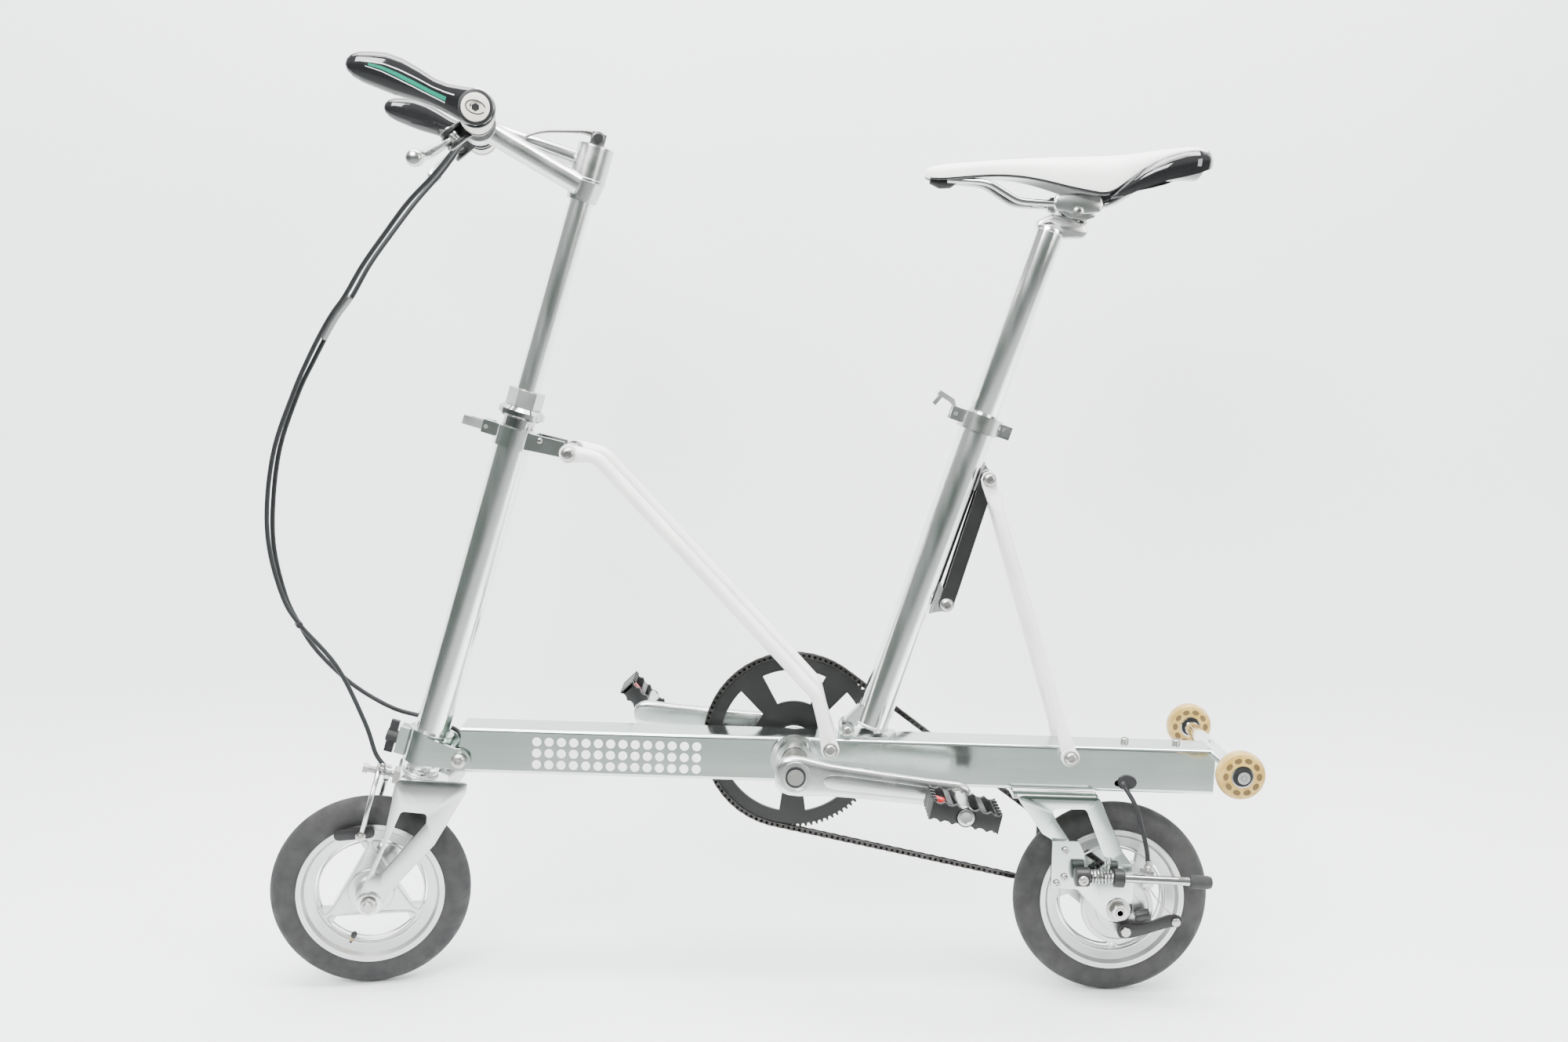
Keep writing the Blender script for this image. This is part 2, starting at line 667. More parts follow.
def rim_lip(name, hub, body):
    p = Piece(name, hub)
    for side in (-1, 1):
        ring = [(79.3, side * 13.2), (78.6, side * 14.0), (76.6, side * 14.15), (74.9, side * 13.4),
                (73.6, side * 11.2), (72.6, side * 9.2), (66, side * 7.6), (61.2, side * 7.2)]
        p.lathe(ring, (0, 0, 0), (0, 1, 0), SATIN, 96, close=False)
        for turn_deg in (0, 120, 240):
            edge = [(x, side * 5.3, z) for x, z in rim_window(turn_deg)]
            p.tube(edge, 1.1, SATIN, 6, closed=True)
        hub_ring = [(15.4, side * 20), (16.4, side * 12), (20, side * 9.6), (24.2, side * 9.2),
                    (25.0, side * 8), (25.2, side * 4.8)]
        p.lathe(hub_ring, (0, 0, 0), (0, 1, 0), SATIN, 48, close=False)
    p.done(body)


rim_lip("front_rim_trim", FRONT_HUB, "front_wheel")
rim_lip("rear_rim_trim", REAR_HUB @ turn("Y", 56), "rear_wheel")


def valve():
    p = Piece("front_valve", FRONT_HUB)
    a = math.radians(-112)
    out = Vector((math.cos(a), 0, math.sin(a)))
    p.lathe([(3.6, 0), (3.8, 3), (3.2, 7), (3.1, 12)], out * 72, -out + Vector((0, -0.5, 0)), RUBBER, 20)
    start, inward = out * 60.6 + Vector((0, -5.4, 0)), -out + Vector((0, -0.8, 0))
    p.lathe([(2.6, 0), (2.6, 5), (2.3, 5.5), (2.3, 10)], start, inward, BRASS, 20)
    tip = start + inward.normalized() * 9.5
    p.lathe([(3.1, 0), (3.3, 1), (3.3, 5), (2.2, 7.5)], tip, inward, BLACK_PLASTIC, 14)
    p.done("front_wheel")


valve()

# ---- chain, chainring and cranks ------------------------------------------


def chain_path():
    """Points of the chain's pins in order round the loop, one pitch apart."""
    gap = Vector((REAR_X - BB[0], WHEEL_R - BB[1]))
    run = gap.length
    base = math.atan2(gap.y, gap.x)
    open_ = math.asin((RING_R - SPROCKET_R) / run)
    top, low = base - open_ + math.pi / 2, base + open_ - math.pi / 2
    bb, hub = Vector(BB), Vector((REAR_X, WHEEL_R))
    path = []

    def arc(centre, r, a, b, steps):
        for k in range(steps + 1):
            t = a + (b - a) * k / steps
            path.append(centre + r * Vector((math.cos(t), math.sin(t))))

    arc(hub, SPROCKET_R, low, top, 24)
    arc(bb, RING_R, top, low + 2 * math.pi, 160)
    path.append(path[0])
    length = sum((b - a).length for a, b in zip(path, path[1:]))
    count = 2 * round(length / PITCH / 2)
    step = length / count
    pins, walked, target = [], 0.0, 0.0
    for a, b in zip(path, path[1:]):
        seg = (b - a).length
        while target <= walked + seg + 1e-6 and len(pins) < count:
            pins.append(a.lerp(b, (target - walked) / seg) if seg else a)
            target += step
        walked += seg
    return pins


def chain():
    p = Piece("chain_links")
    pins = chain_path()
    count = len(pins)
    for i in range(count):
        a, b = pins[i], pins[(i + 1) % count]
        d = (b - a).normalized()
        side = Vector((-d.y, d.x))
        outline = []
        for centre, start in ((b, -90), (a, 90)):
            for k in range(5):
                t = math.radians(start + 45 * k)
                q = centre + 2.75 * (d * math.cos(t) + side * math.sin(t))
                outline.append((q.x, q.y))
        y = 2.75 if i % 2 else 1.75
        for s in (-1, 1):
            p.plate(outline, *sorted((CHAIN_Y + s * y, CHAIN_Y + s * (y + 0.75))), CHAIN)
        p.lathe([(1.7, -3.5), (1.7, 3.5)], (a.x, CHAIN_Y, a.y), (0, 1, 0), CHAIN, 8)
    p.done("frame", ("chain_runs", "chain_wraps"), sharp=30)


chain()


def toothed(name, teeth, pitch_r, place, body, mat, bore):
    """Ring of teeth that stand 1.6 above the pitch circle and reach 2.0 below it."""
    outline = []
    for k in range(teeth):
        for f, r in ((-0.32, pitch_r - 2.0), (-0.12, pitch_r + 1.6),
                     (0.12, pitch_r + 1.6), (0.32, pitch_r - 2.0)):
            a = 2 * math.pi * (k + f) / teeth
            outline.append((r * math.cos(a), r * math.sin(a)))
    n = len(outline)
    inner = [(bore * math.cos(a), bore * math.sin(a)) for a in angles(n)]
    p = Piece(name, place)
    verts = [(x, y, z) for y in (45.1, 46.9) for ring in (inner, outline) for x, z in ring]
    faces = []
    for k in range(n):
        j = (k + 1) % n
        faces += [(k, j, n + j, n + k), (2 * n + k, 3 * n + k, 3 * n + j, 2 * n + j),
                  (n + k, n + j, 3 * n + j, 3 * n + k), (k, 2 * n + k, 2 * n + j, j)]
    p.add(verts, faces, mat, flat=True)
    p.done(body)


toothed("chainring_teeth", RING_TEETH, RING_R, BB_AT, "crank", BLACK_METAL, 92)
toothed("sprocket_teeth", SPROCKET_TEETH, SPROCKET_R, REAR_HUB, "rear_sprocket", ZINC, 9)


def crank_arm(side, word):
    """Arm lofted along its length, with its axle cover, rib and pedal spindle."""
    tip = Vector(BB) - side * CRANK_LEN * Vector(
        (math.cos(math.radians(CRANK_ANGLE)), -math.sin(math.radians(CRANK_ANGLE))))
    mid, out = side * 90, side * 97
    p = Piece(f"{word}_crank_arm")
    # distance from the axle, half height, thickness
    along = (tip - Vector(BB)) / CRANK_LEN
    cross_ = Vector((-along.y, along.x))
    stations = [(-21.3, 6, 9), (-19.5, 12.5, 12), (-14, 18.6, 14), (-5, 21.0, 14), (6, 21.0, 14),
                (18, 19.2, 14), (34, 17.2, 13.4), (60, 16.0, 12.6), (100, 15.0, 12), (135, 14.2, 12),
                (158, 14.4, 12.6), (170, 14.6, 13), (178, 12.6, 12), (182.5, 8.6, 10), (184.3, 3.5, 7)]
    verts, n = [], 20
    for s, half, thick in stations:
        centre = Vector(BB) + along * s
        for a in angles(n):
            q = centre + cross_ * (rounder(math.cos(a), 0.45) * half)
            verts.append((q.x, mid + rounder(math.sin(a), 0.55) * thick / 2, q.y))
    p.add(verts, skin_faces(len(stations), n), ALLOY)
    # axle bolt cover in its counterbore
    axle_end, outward = (BB[0], out, BB[1]), (0, side, 0)
    p.lathe([(16.5, -1.0), (16.2, 0.35), (13.6, 0.5), (13.0, -1.5)], axle_end, outward, ALLOY, 40,
            close=False)
    p.lathe([(13.0, -2), (12.6, -0.4), (9.5, 0.2), (5.0, 0.3), (4.8, -1.6), (0.1, -1.8)],
            axle_end, outward, BLACK_PLASTIC, 36, hexes=(4,))
    # raised rib along the outside of the arm
    half_rib = ((30, 3), (42, 8.0), (90, 7.4), (140, 6.4), (152, 2.5))
    rib = [Vector(BB) + along * s + cross_ * half for s, half in half_rib]
    rib += [Vector(BB) + along * s - cross_ * half for s, half in reversed(half_rib)]
    outline = round_outline([(q.x, q.y) for q in rib], 3)
    p.plate(outline, *sorted((out - side * 2.2, out - side * 0.1)), ALLOY, 0.8)
    # pedal spindle and its outer end
    p.lathe([(6.0, 0), (6.0, 0.5), (4.2, 0.7), (3.6, -0.8), (0.1, -1.0)], (tip.x, out, tip.y),
            outward, ZINC, 24, hexes=(3,))
    p.lathe([(8.0, 0), (8.0, 9), (6.8, 9.6), (5.0, 10.5), (5.0, 62)],
            (tip.x, side * 96, tip.y), outward, ZINC, 28, hexes=(0, 1))
    p.done("crank", (f"{word}_crank",))
    return tip


TIPS = {word: crank_arm(side, word) for side, word in SIDES}


def serrated(half, height, teeth=6):
    """Outline of a cage plate with teeth on both edges."""
    pts = []
    pitch = 2 * half / teeth
    for s in (1, -1):
        for k in range(teeth):
            x = s * (-half + k * pitch)
            pts += [(x, -s * height), (x + s * pitch * 0.30, s * (-height + 2.6)),
                    (x + s * pitch * 0.62, s * (-height + 2.6))]
        pts.append((s * half, -s * height))
    return pts


def pedal(side, word, tilt):
    tip = TIPS[word]
    place = Matrix.Translation((tip.x, side * 97, tip.y)) @ Matrix.Diagonal((1, side, 1, 1))
    p = Piece(f"{word}_pedal_cage", place @ turn("Y", tilt))
    outer = serrated(35.5, 10.6)
    for y0, y1, face, s in ((10, 15, 10, -1), (61.5, 67, 67, 1)):
        p.plate(outer, y0, y1, BLACK_METAL, 0.7)
        p.lathe([(7.4, 0), (8.6, -0.6), (9.6, 0.0), (9.9, 0.8)], (0, face, 0), (0, s, 0), BLACK_METAL, 32,
                close=False)
    for x0 in (-1, 1):
        rail = [(x0 * 35.6, -9), (x0 * 35.6, 9), (x0 * 30.4, 7.4), (x0 * 30.4, -7.4)]
        p.plate(rail, 10, 66.5, BLACK_METAL, 1.2)
        for y in (20, 30, 40, 50, 58):
            tooth = [(x0 * 35.9, -10.8), (x0 * 35.9, 10.8), (x0 * 31, 10.8), (x0 * 31, -10.8)]
            p.plate(tooth, y, y + 4.2, BLACK_METAL, 0.8)
    for z in (-1, 1):
        for x in (-17, 17):
            web = [(x - 3, z * 5), (x + 3, z * 5), (x + 3, z * 8.5), (x - 3, z * 8.5)]
            p.plate(web, 14, 62, BLACK_METAL, 0.8)
    p.lathe([(6.2, 8.6), (9.6, 9.2), (10, 12), (9.4, 20), (8.2, 30), (8.2, 50), (9.6, 58), (9.8, 66),
             (8.6, 68.4), (5.8, 69), (5.6, 67.5), (0.1, 67.2)], (0, 0, 0), (0, 1, 0), ALLOY, 32)
    p.plate([(-31, -6), (-22, -7), (-20, 5), (-30, 6)], 30, 40, RED, 1.0)
    p.done(f"{word}_pedal", (f"{word}_pedal",))


pedal(-1, "left", 12)
pedal(1, "right", 46)

# ---- rollers --------------------------------------------------------------


def amber():
    m = material("roller_urethane", (0.60, 0.40, 0.10), 0.24, Transmission_Weight=0.25,
                 Subsurface_Weight=0.35, Coat_Weight=0.2)
    m.node_tree.nodes["Principled BSDF"].inputs["Subsurface Radius"].default_value = (0.006, 0.003, 0.001)
    set_input(m, "Base Color", tint(m, noise(m, 90, 4), (0.48, 0.31, 0.07), (0.66, 0.46, 0.14)))
    bump(m, noise(m, 500, 3), 0.0001, 0.3)
    return m


AMBER = amber()
AMBER_DARK = coated("roller_pocket", (0.11, 0.065, 0.015), 0.5, 900)


def roller(side, word):
    place = Matrix.Translation((ROLLER[0], 0, ROLLER[1])) @ Matrix.Diagonal((1, side, 1, 1))
    p = Piece(f"{word}_roller_wheel", place)
    p.lathe([(11.4, 91.9), (20.5, 91.9), (23.6, 93.0), (25.1, 95.4), (25.5, 99.6), (25.5, 100.2),
             (25.1, 104.4), (23.6, 106.8), (20.5, 107.9), (11.4, 107.9)], (0, 0, 0), (0, 1, 0), AMBER, 64,
            close=False)
    for face, sign in ((108.0, 1), (91.8, -1)):
        for a in angles(10):
            c = Vector((17.4 * math.cos(a), face, 17.4 * math.sin(a)))
            r_, t_ = Vector((math.cos(a), 0, math.sin(a))), Vector((-math.sin(a), 0, math.cos(a)))
            rim = [c + r_ * 2.9 * math.cos(b) + t_ * 4.1 * math.sin(b) for b in angles(16)]
            low = [q - Vector((0, sign * 0.6, 0)) for q in rim]
            verts = [tuple(q) for q in rim + low]
            faces = [(j, (j + 1) % 16, 16 + (j + 1) % 16, 16 + j) for j in range(16)]
            p.add(verts, faces + [tuple(range(16))], AMBER_DARK)
        p.lathe([(11.6, -1.0), (11.6, 0.3), (10.2, 0.5), (9.9, -0.5)], (0, face - 0.2 * sign, 0),
                (0, sign, 0), CHROME, 48, close=False)
        p.lathe([(10.0, -0.5), (9.8, -0.1), (6.2, -0.1), (6.0, -0.5)], (0, face, 0), (0, sign, 0),
                BLACK_PLASTIC, 40, close=False)
        p.lathe([(6.2, -0.6), (6.1, 0.3), (4.3, 0.35), (4.3, -6)], (0, face, 0), (0, sign, 0), CHROME, 32,
                close=False)
    p.done(f"{word}_roller", (f"{word}_roller",))


for side, word in SIDES:
    roller(side, word)
for side, word in SIDES:
    bolt(f"{word}_roller_bolt", (ROLLER[0], side * 108.6, ROLLER[1]), (0, side, 0), 6.2, "frame", 4.4)

# ---- handlebar ------------------------------------------------------------


def grips():
    p = Piece("grips_banded", STEERED)
    for side in (-1, 1):
        at, out = (BAR[0], 0, BAR[1]), (0, side, 0)
        p.lathe([(11.2, 124.4), (16.4, 124.4), (16.9, 125.2), (16.9, 128.4), (16.2, 129.0), (16.2, 129.2),
                 (11.2, 129.2)], at, out, BLACK_PLASTIC, 40)
        body = [(15.6, 129.3)]
        y = 130.0
        while y < 215:
            body += [(16.3, y), (16.3, y + 3.0), (15.8, y + 3.4), (15.8, y + 4.0)]
            y += 4.4
        body += [(16.3, 217.5), (15.4, 218.4)]
        p.lathe(body, at, out, GRIP, 44)
        p.lathe([(11.2, 218.5), (17.4, 218.5), (17.8, 219), (17.8, 223.4), (17.2, 224.0), (11.2, 224.2)],
                at, out, SATIN, 44)
        p.lathe([(11.2, 224.2), (15.8, 224.2), (16.2, 224.8), (11.2, 225.4)], at, out, BLACK_PLASTIC, 44)
        # end plug
        p.lathe([(15.3, 237.2), (15.6, 238.6), (15.2, 239.6), (13.0, 240.2), (12.6, 239.4)], at, out,
                BLACK_PLASTIC, 44, close=False)
        p.lathe([(12.8, 239.2), (12.4, 240.4), (11.0, 240.9), (5.6, 240.9), (5.4, 238.8), (0.1, 238.6)],
                at, out, GRIP, 40, hexes=(4,))
        oval = [(BAR[0] + 8.6 * math.cos(a), side * 241.0, BAR[1] + 5.6 * math.sin(a))
                for a in [math.radians(20 + 10 * k) for k in range(33)]]
        p.tube(oval, 0.55, BLACK_PLASTIC, 8)
        p.lathe([(3.6, 0), (3.4, 0.3), (0.1, 0.3)], (BAR[0], side * 239.6, BAR[1]), out, BLACK_PLASTIC, 24,
                hexes=(0, 1))
    p.done("stem", ("grips",))


grips()


def bar_end(side, word):
    """Lofted grip that runs forward from the end of the bar."""
    x0, u0 = BAR
    stations = [  # forward distance, rise, half height, half width
        (15.5, 0.0, 5.0, 5.0), (12, 0.2, 10.5, 6.6), (4, 0.2, 15.2, 7.4), (-6, 0.2, 16.0, 7.8),
        (-16, 0.2, 14.0, 8.0), (-28, 0.6, 12.0, 8.4), (-40, 1.6, 12.0, 9.4), (-54, 3.6, 14.2, 10.6),
        (-70, 5.2, 16.2, 11.2), (-84, 5.9, 16.0, 11.2), (-97, 4.9, 13.9, 10.6), (-106, 4.4, 11.4, 9.4),
        (-112, 4.2, 7.8, 7.0), (-115, 4.0, 3.8, 4.0),
    ]
    p = Piece(f"{word}_bar_end_shell", STEERED)
    n = 24

    def centre_y(s):
        return 231.5 - 2.6 * max(0, (-s - 30) / 85)

    verts = []
    dense = refined(stations)
    for s, rise, hh, hw in dense:
        for a in angles(n):
            ey = rounder(math.cos(a), 0.75) * hw
            ez = rounder(math.sin(a), 0.8) * hh
            verts.append((x0 + s, side * (centre_y(s) + ey), u0 + rise + ez))
    p.add(verts, skin_faces(len(dense), n), BLACK_GLOSS)
    p.done("stem", ("bar_ends",) if side < 0 else (), sharp=60)

    def skin(s, v):
        """Point on the shell's outer side at forward distance s and height v from -1 to 1."""
        for a, b in zip(stations, stations[1:]):
            if a[0] >= s >= b[0]:
                f = (a[0] - s) / (a[0] - b[0])
                _, rise, hh, hw = (a[i] + (b[i] - a[i]) * f for i in range(4))
                break
        sa = math.copysign(min(1, abs(v)) ** 1.25, v)
        ca = math.sqrt(max(0.0, 1 - sa * sa)) ** 0.75
        return (x0 + s, side * (centre_y(s) + ca * hw + 0.15), u0 + rise + v * hh)

    deco = Piece(f"{word}_bar_end_stripes", STEERED)
    for mat, v0, v1, w0, w1, s0, s1 in ((GREEN, -0.30, 0.02, 0.06, 0.20, -26, -96),
                                        (WHITE_LINE, 0.26, 0.34, 0.30, 0.34, -20, -100),
                                        (WHITE_LINE, -0.44, -0.37, -0.04, 0.0, -26, -98)):
        verts, faces = [], []
        for k in range(33):
            s, f = s0 + (s1 - s0) * k / 32, k / 32
            a, b = v0 + (w0 - v0) * f, v1 + (w1 - v1) * f
            verts += [skin(s, a + (b - a) * j / 4) for j in range(5)]
        for k in range(32):
            for j in range(4):
                q = k * 5 + j
                faces.append((q, q + 1, q + 6, q + 5))
        deco.add(verts, faces, mat)
    deco.done("stem")


for side, word in SIDES:
    bar_end(side, word)


def brake_controls():
    """Perch and blade on each side, in the lever's own frame."""
    for side, word in SIDES:
        place = AT_BAR @ Matrix.Diagonal((1, side, 1, 1))
        p = Piece(f"{word}_perch_body", place)
        p.lathe([(11.2, 95.6), (15.4, 95.6), (16.2, 96.4), (16.2, 111.6), (15.4, 112.4), (11.2, 112.4)],
                (0, 0, 0), (0, 1, 0), BLACK_METAL, 40)
        body = round_outline([(-10, 96), (-20, 90.5), (-33, 91), (-38, 97), (-39, 108), (-36, 116),
                              (-28, 118), (-21, 113), (-17, 104)], 3)
        for z0, z1 in ((-9, -5.2), (5.2, 9)):
            verts = []
            for z, inset in ((z0, 0.9), (z0 + 0.9, 0), (z1 - 0.9, 0), (z1, 0.9)):
                verts += [(x, y, z) for x, y in shrink(body, inset)]
            p.add(verts, skin_faces(4, len(body)), BLACK_METAL)
        web = round_outline([(-12, 97), (-18, 90.8), (-30, 91), (-33, 95), (-20, 96)], 3)
        p.add([(x, y, z) for z in (-5.4, 5.4) for x, y in web], skin_faces(2, len(web)), BLACK_METAL)
        # barrel adjuster and clamp screw
        p.lathe([(4.2, 0), (5.6, 0.6), (5.6, 6), (4.6, 6.6), (4.6, 8), (5.4, 8.6), (5.4, 11), (3.2, 12),
                 (3.2, 15)], (-28, 91, 0), (0.12, -1, -0.1), BLACK_METAL, 20)
        p.lathe([(4.6, 0), (4.8, 1), (4.4, 4), (2.6, 4.6), (2.4, 1.4), (0.1, 1.2)], (-6, 104, 14.6),
                (0.4, 0, 1), ZINC, 24, hexes=(4,))
        p.lathe([(4.0, 0), (4.2, 0.6), (3.4, 1.6), (0.1, 1.9)], (-30, 106, 9), (0, 0, 1), ZINC, 24)
        p.done("stem", ("brake_perches",) if side < 0 else ())

        q = Piece(f"{word}_lever_blade", place)
        path = smooth_path([BRAKE_PIN, (-40, 116, 0), (-51, 131, 0), (-58.5, 146, 0), (-62.5, 165, 0),
                            (-65.5, 182, 0), (-68.5, 199, 0), (-70, 207, 0)], 5)
        verts, n = [], 16
        for i, c in enumerate(path):
            t = heading(path, i)
            s_ = Vector((-t.y, t.x, 0))
            f = i / (len(path) - 1)
            flat_ = 4.2 + 1.4 * math.sin(math.pi * min(1, f * 1.15))
            thick = 3.4 if f > 0.1 else 3.8
            verts += [c + s_ * math.cos(a) * thick + Vector((0, 0, math.sin(a) * flat_)) for a in angles(n)]
        q.add(verts, skin_faces(len(path), n), ALLOY)
        q.lathe([(2.5, -4.7), (7.2, -4.7), (7.5, -4.2), (7.5, 4.2), (7.2, 4.7), (2.5, 4.7)],
                BRAKE_PIN, (0, 0, 1), ALLOY, 32)
        q.lathe([(5.4, -3), (7.6, -1.6), (8.2, 1.4), (8.2, 12), (7.4, 15.4), (5.2, 17.4), (0.1, 18)],
                (-68.0, 196, 0), (-0.17, 1, 0), ALLOY, 28)
        q.lathe([(2.9, -8.9), (2.9, 8.9)], BRAKE_PIN, (0, 0, 1), ZINC, 20)
        q.done(f"{word}_brake_lever", (f"{word}_brake_lever",))


brake_controls()


def stem_trim():
    p = Piece("stem_clamp_screws", STEERED)
    # cap of the head and the quick release's bolt and nut
    p.lathe([(19.1, -1.2), (19.0, 0.3), (17.6, 1.0), (13.0, 1.2), (12.4, -0.6), (0.1, -0.8)], (0, 0, 951),
            (0, 0, 1), ALLOY, 48, close=False)
    for side in (-1, 1):
        p.lathe([(3.2, 0), (5.4, 0), (5.6, 0.5), (5.6, 3.6), (4.6, 4.2), (0.1, 4.4)],
                (STEM_PIN[0], side * 8.2, STEM_PIN[1]), (0, side, 0), BLACK_METAL, 24, hexes=(1, 2, 3))
        p.lathe([(6.2, -0.2), (6.8, 0.2), (6.8, 0.9), (5.2, 1.2)],
                (STEM_PIN[0], side * 8.2, STEM_PIN[1]), (0, side, 0), LEVER, 28, close=False)
    p.lathe([(19.2, 0), (19.8, 0.6), (19.8, 3.0), (19.2, 3.6)], (0, 0, 913.5), (0, 0, 1), ALLOY, 48,
            close=False)
    for y in (-30, 30):
        p.lathe([(17.1, -3), (17.6, -2.4), (17.6, 2.4), (17.1, 3)], (BAR[0], y, BAR[1]), (0, 1, 0),
                ALLOY, 40, close=False)
    for y in (-12, 12):
        p.lathe([(3.6, 0), (3.8, 0.8), (3.4, 3.6), (2.0, 4), (1.9, 1.4), (0.1, 1.2)],
                (BAR[0] - 15.6, y, BAR[1] - 5), (-1, 0, -0.35), ZINC, 20, hexes=(4,))
    p.done("stem")


stem_trim()


def stem_lever():
    """Curved quick-release lever whose blade widens towards its end."""
    p = Piece("stem_lever_blade", STEERED)
    line = smooth_path([(3, 0, 962), (-6, 0, 962.6), (-17, 0, 961.8), (-36, 0, 956.4), (-53.5, 0, 950.6),
                        (-65.5, 0, 944.2), (-72.5, 0, 938.6)], 6)
    sections = []
    for i, c in enumerate(line):
        f = i / (len(line) - 1)
        way = heading(line, i)
        sections.append((c, Vector((-way.z, 0, way.x)), Vector((0, 1, 0)),
                         4.8 - 2.8 * min(1, 2.4 * f) - 0.6 * f, 3.8))
    p.loft(sections, LEVER, 24, 0.7)
    pin = (STEM_PIN[0], 0, STEM_PIN[1])
    p.lathe([(2.9, -3.8), (7.2, -3.8), (7.6, -3.2), (7.6, 3.2), (7.2, 3.8), (2.9, 3.8)], pin,
            (0, 1, 0), LEVER, 36)
    p.lathe([(3.0, -8), (3.0, 8)], pin, (0, 1, 0), ZINC, 20)
    p.done("stem_lever", ("stem_lever",))


stem_lever()


def calipers():
    """Two forged arms that cross at the pivot, each with a shoe beside the rim."""
    for s, word, depth in ((-1, "left", -47), (1, "right", -37)):
        p = Piece(f"{word}_caliper_forged", STEERED)
        x = depth + 3
        line = smooth_path([(x, s * -7, 245), (x, 0, 242), (x, s * 13, 236), (x, s * 24, 222),
                            (x, s * 28, 202), (x, s * 26.6, 186), (x, s * 25, 176)], 5)
        sections = []
        for i, c in enumerate(line):
            f = i / (len(line) - 1)
            way = heading(line, i)
            wide = 4.2 + 3.6 * math.exp(-((f - 0.16) / 0.14) ** 2)
            sections.append((c, Vector((0, -way.z, way.y)), Vector((1, 0, 0)), wide, 2.9))
        p.loft(sections, ALLOY, 20, 0.8)
        p.lathe([(3.6, -0.1), (8.4, -0.1), (9.0, 0.5), (9.0, 5.5), (8.4, 6.1), (3.6, 6.1)],
                (depth, 0, 241), (1, 0, 0), ALLOY, 36)
        p.plate(round_outline(arm_outline((-66, 168), 6, (-36, 178), 6, 8), 1),
                *sorted((s * 18.4, s * 23)), BLACK_METAL, 0.9)
        p.plate(arm_outline((-65, 168.4), 5, (-37, 177.6), 5, 8), *sorted((s * 15.3, s * 18.8)),
                RUBBER, 0.6)
        p.lathe([(5.6, 0), (6.0, 0.6), (6.0, 2.4), (3.6, 3.0), (3.4, 6.0), (0.1, 6.4)],
                (x, s * 27.5, 174.6), (0, s, 0), ZINC, 24, hexes=(0, 1, 2))
        p.done(f"{word}_caliper_arm", (f"{word}_caliper_arm",))
    p = Piece("caliper_adjuster", STEERED)
    p.lathe([(3.0, 0), (4.4, 0.6), (4.4, 4.2), (3.4, 4.8), (3.2, 8.6), (2.6, 9.2)], (-41, -8, 244.6),
            (0, 0, 1), ZINC, 22)
    p.done("fork")


calipers()

# ---- cables ---------------------------------------------------------------


def cable_piece(name, points, parts, r=CABLE_R, mat=CABLE, cad=()):
    """Splits one route into stretches, each riding on or blending between bodies."""
    path = smooth_path(points, CABLE_STEPS)
    for k, (first, last, body, other) in enumerate(parts):
        stretch = path[first * CABLE_STEPS:last * CABLE_STEPS + 1]
        p = Piece(f"{name}_{k}")
        p.tube(stretch, r, mat, 14)
        o = p.done(None if other else body, cad if k == 0 else ())
        if other:
            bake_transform(o)


FRONT_ROUTE = [
    (-298.5, -95.8, 908.8), (-301, -86, 905.5), (-314, -72, 893), (-332, -60, 876),
    (-359, -50, 851), (-385, -44, 819), (-409, -38, 788), (-431, -28, 756), (-445, -24, 738),
    (-459, -20, 717), (-474, -18, 689), (-489, -18, 656), (-510, -20, 598), (-519, -22, 539),
    (-518, -22, 489), (-506, -20, 438), (-490, -18, 408), (-451, -16, 361), (-423, -14, 300),
    (-412, -14.5, 266), (-403.5, -15, 253),
]
REAR_ROUTE = [
    (-323.3, 49.8, 916.8), (-325, 40, 914), (-331, 31, 902), (-342, 23, 885), (-365, 10, 855),
    (-388, -2, 821), (-409, -10, 789), (-427, -14, 756), (-441, -14, 738), (-454, -12, 717),
    (-470, -10, 688), (-487, -8, 655), (-508, -8, 597), (-517, -8, 538), (-518, -6, 487),
    (-509, 0, 435), (-497, 5, 404), (-480, 12, 372), (-446, 21, 334), (-404, 27, 306),
    (-368, 31, 294), (-334, 27, 282), (-324, 14, 277),
]
TAIL_ROUTE = [(400, -19, 244), (404, -27, 238), (413, -36, 222), (419, -43, 200), (425, -46, 175),
              (427, -46.5, 153)]
cable_piece("front_cable", FRONT_ROUTE, [(0, 20, "stem", "fork")], cad=("front_brake_cable",))
cable_piece("rear_cable", REAR_ROUTE,
            [(0, 9, "stem", "fork"), (9, 16, "fork", "head_tube"), (16, 19, "head_tube", "front_bracket"),
             (19, 22, "front_bracket", "frame")], cad=("rear_brake_cable",))
cable_piece("tail_cable", TAIL_ROUTE, [(0, 5, "frame", None)])
cable_piece("tail_wire", [(428, -46.5, 138), (433, -46.6, 128), (444, -48, 115), (454.5, -49.4, 104.6)],
            [(0, 3, "frame", None)], 0.8, ZINC)


